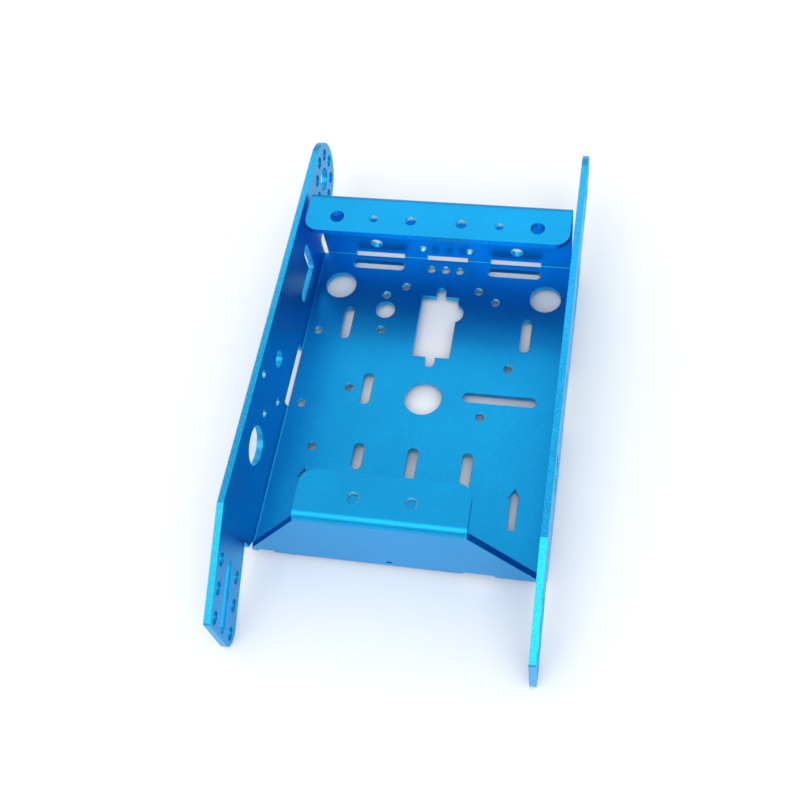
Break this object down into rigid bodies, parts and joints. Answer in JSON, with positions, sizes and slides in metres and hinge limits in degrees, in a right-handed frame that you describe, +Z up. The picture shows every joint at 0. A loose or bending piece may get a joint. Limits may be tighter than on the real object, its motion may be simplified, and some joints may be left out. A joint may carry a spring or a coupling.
{
  "type": "robot chassis tray",
  "caption": "Folded sheet-metal tray chassis with hole-pattern floor, side walls with round front and sloped rear mounting lugs, and inward top flanges",
  "frame": {"origin": "middle of the bounding box in plan, at the level of the lowest points, which are the rear lug tips", "axes": "+Z up, +Y front (the way the arrow cut-outs point, toward the round lugs), +X right seen from the rear"},
  "size_m": [0.09, 0.1672, 0.0352],
  "materials": {
    "anodised_sheet": "satin bead-blasted blue anodised"
  },
  "bodies": {
    "root": {"floor_panel": "anodised_sheet", "left_side_bend": "anodised_sheet", "right_side_bend": "anodised_sheet", "front_bend": "anodised_sheet", "rear_bend": "anodised_sheet", "left_side_wall": "anodised_sheet", "right_side_wall": "anodised_sheet", "left_front_lug": "anodised_sheet", "right_front_lug": "anodised_sheet", "left_rear_lug": "anodised_sheet", "right_rear_lug": "anodised_sheet", "front_wall": "anodised_sheet", "front_flange_bend": "anodised_sheet", "front_top_flange": "anodised_sheet", "rear_wall": "anodised_sheet", "rear_flange_bend": "anodised_sheet", "rear_top_flange": "anodised_sheet"}
  },
  "joints": []
}
